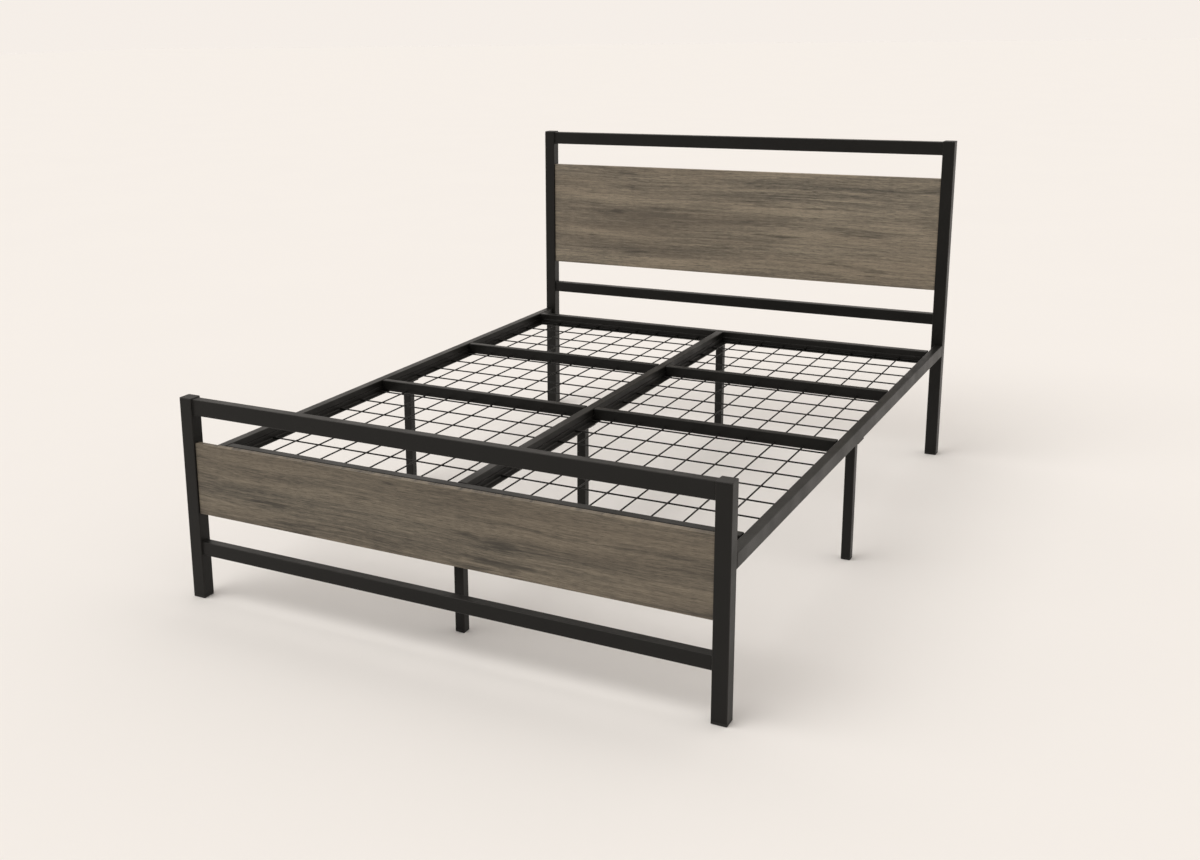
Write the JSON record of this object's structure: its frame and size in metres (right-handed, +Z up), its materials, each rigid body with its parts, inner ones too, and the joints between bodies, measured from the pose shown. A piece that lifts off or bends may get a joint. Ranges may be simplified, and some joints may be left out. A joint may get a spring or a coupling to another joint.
{
  "type": "metal bed frame",
  "caption": "Metal platform bed frame with square tube headboard and footboard, grey wood-look panels and a wire mesh deck carried on rails, cross bars and floor legs.",
  "frame": {"origin": "on the floor, under the middle of the frame's outer box", "axes": "+Z up, -Y towards the footboard, +Y towards the headboard, +X towards the right side seen from the foot"},
  "size_m": [1.42, 2.01, 1.015],
  "materials": {
    "black_steel": "satin black powder coat",
    "black_wire": "satin black powder coat on round wire",
    "grey_oak": "grey-brown oak grain laminate, matt",
    "black_plastic": "fine-textured black plastic",
    "zinc_steel": "zinc plated"
  },
  "bodies": {
    "root": {"centre_leg_foot": "black_steel", "centre_leg_foot_glide": "black_plastic", "centre_leg_head": "black_steel", "centre_leg_head_glide": "black_plastic", "centre_leg_middle": "black_steel", "centre_leg_middle_glide": "black_plastic", "centre_rail": "black_steel", "deck_bolt_1_left": "zinc_steel", "deck_bolt_1_right": "zinc_steel", "deck_bolt_2_left": "zinc_steel", "deck_bolt_2_right": "zinc_steel", "deck_bolt_3_left": "zinc_steel", "deck_bolt_3_right": "zinc_steel", "deck_bolt_4_left": "zinc_steel", "deck_bolt_4_right": "zinc_steel", "first_cross_bar_left": "black_steel", "first_cross_bar_right": "black_steel", "foot_cross_rail": "black_steel", "foot_hook_plate_left": "black_steel", "foot_hook_plate_right": "black_steel", "foot_lower_rail": "black_steel", "foot_mesh_left": "black_wire", "foot_mesh_right": "black_wire", "foot_panel_cleat_left": "black_steel", "foot_panel_cleat_right": "black_steel", "foot_post_cap_left": "black_plastic", "foot_post_cap_right": "black_plastic", "foot_post_glide_left": "black_plastic", "foot_post_glide_right": "black_plastic", "foot_post_left": "black_steel", "foot_post_right": "black_steel", "foot_top_rail": "black_steel", "foot_wood_panel": "grey_oak", "head_cross_rail": "black_steel", "head_hook_plate_left": "black_steel", "head_hook_plate_right": "black_steel", "head_lower_rail": "black_steel", "head_mesh_left": "black_wire", "head_mesh_right": "black_wire", "head_panel_cleat_left": "black_steel", "head_panel_cleat_right": "black_steel", "head_post_cap_left": "black_plastic", "head_post_cap_right": "black_plastic", "head_post_glide_left": "black_plastic", "head_post_glide_right": "black_plastic", "head_post_left": "black_steel", "head_post_right": "black_steel", "head_top_rail": "black_steel", "head_wood_panel": "grey_oak", "middle_mesh_left": "black_wire", "middle_mesh_right": "black_wire", "second_cross_bar_left": "black_steel", "second_cross_bar_right": "black_steel", "side_leg_left": "black_steel", "side_leg_left_glide": "black_plastic", "side_leg_right": "black_steel", "side_leg_right_glide": "black_plastic", "side_rail_left": "black_steel", "side_rail_right": "black_steel"}
  },
  "joints": []
}
